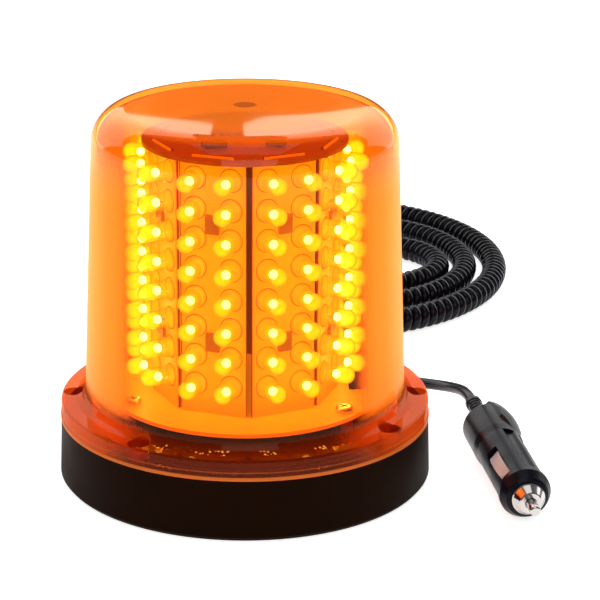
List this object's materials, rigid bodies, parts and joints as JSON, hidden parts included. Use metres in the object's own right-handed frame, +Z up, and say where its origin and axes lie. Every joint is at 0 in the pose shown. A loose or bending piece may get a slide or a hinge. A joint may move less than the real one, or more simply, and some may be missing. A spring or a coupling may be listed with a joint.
{
  "type": "led safety flare",
  "caption": "Amber warning beacon: clear domed lens over an eight-sided LED tower, on a round magnetic base, with a curly lead and a 12 V lighter plug.",
  "frame": {"origin": "centre of the underside, on the surface that it stands on", "axes": "+Z up along the dome's axis; -Y is the front; the cord leaves at +Y; the plug lies at +X"},
  "size_m": [0.2125, 0.4482, 0.1534],
  "materials": {
    "base_plastic": "fine moulded grain",
    "pad_rubber": "matte",
    "plated_steel": "zinc plated",
    "ferrite": "matte",
    "brass": "satin",
    "seal_rubber": "matte",
    "amber_lens": "clear amber moulding",
    "screw_steel": "zinc plated",
    "circuit_board": "lacquered board",
    "chip_black": "satin",
    "cord_rubber": "glossy",
    "plug_plastic": "semi-gloss",
    "contact_chrome": "polished",
    "insulator": "satin",
    "fuse_glass": "clear",
    "led_amber": "clear epoxy, lit"
  },
  "bodies": {
    "beacon": {"base_housing": "base_plastic", "rubber_pad": "pad_rubber", "magnet_cup": "plated_steel", "ring_magnet": "ferrite", "magnet_bolt": "plated_steel", "magnet_washer": "plated_steel", "magnet_nut": "plated_steel", "screw_inserts": "brass", "lens_gasket": "seal_rubber", "amber_lens": "amber_lens", "lens_screws": "screw_steel", "main_board": "circuit_board", "board_standoffs": "brass", "board_screws": "screw_steel", "driver_chips": "chip_black", "top_board": "circuit_board", "top_board_parts": "chip_black", "power_connector": "chip_black", "capacitor": "chip_black", "cable_gland": "cord_rubber", "internal_lead": "cord_rubber", "cord_base_lead": "cord_rubber", "cord_curly": "cord_rubber", "cord_plug_lead": "cord_rubber", "plug_shell_left": "plug_plastic", "plug_shell_right": "plug_plastic", "plug_screw": "screw_steel", "tip_spring": "screw_steel", "rear_terminal": "brass", "plug_boot": "cord_rubber", "led_board_1": "circuit_board", "leds_1": "led_amber", "led_board_2": "circuit_board", "leds_2": "led_amber", "led_board_3": "circuit_board", "leds_3": "led_amber", "led_board_4": "circuit_board", "leds_4": "led_amber", "led_board_5": "circuit_board", "leds_5": "led_amber", "led_board_6": "circuit_board", "leds_6": "led_amber", "led_board_7": "circuit_board", "leds_7": "led_amber", "led_board_8": "circuit_board", "leds_8": "led_amber"},
    "ring_travel": {"tip_insulator": "insulator"},
    "ring": {"nose_ring": "contact_chrome"},
    "pin": {"centre_pin": "contact_chrome", "fuse": "fuse_glass"},
    "contact_left": {"side_contact_left": "contact_chrome"},
    "contact_right": {"side_contact_right": "contact_chrome"}
  },
  "joints": [
    {"name": "ring_travel", "type": "slide", "parent": "beacon", "child": "ring_travel", "axis": [0.1252, -0.9918, -0.0263], "range_m": [0, 0.003]},
    {"name": "ring_turn", "type": "hinge", "parent": "ring_travel", "child": "ring", "pos_m": [0.1117, -0.0693, 0.0099], "axis": [0.1252, -0.9918, -0.0263], "range_deg": [-1080.01, 0]},
    {"name": "pin_press", "type": "slide", "parent": "ring_travel", "child": "pin", "axis": [-0.1252, 0.9918, 0.0263], "range_m": [0, 0.003], "stiffness_N_per_m": 900, "springref_m": -0.002, "deforming": ["tip_spring"]},
    {"name": "contact_left_press", "type": "hinge", "parent": "beacon", "child": "contact_left", "pos_m": [0.10111, -0.02177, 0.015], "axis": [0.6402, 0.0605, 0.7658], "range_deg": [0, 5], "stiffness_Nm_per_rad": 0.5, "springref_deg": -1.72},
    {"name": "contact_right_press", "type": "hinge", "parent": "beacon", "child": "contact_right", "pos_m": [0.11012, -0.02043, 0.00736], "axis": [-0.6402, -0.0605, -0.7658], "range_deg": [0, 5], "stiffness_Nm_per_rad": 0.5, "springref_deg": -1.72}
  ],
  "couplings": [
    {"joint": "ring_turn", "follows": "ring_travel", "rad_per_m": -6283.2}
  ]
}
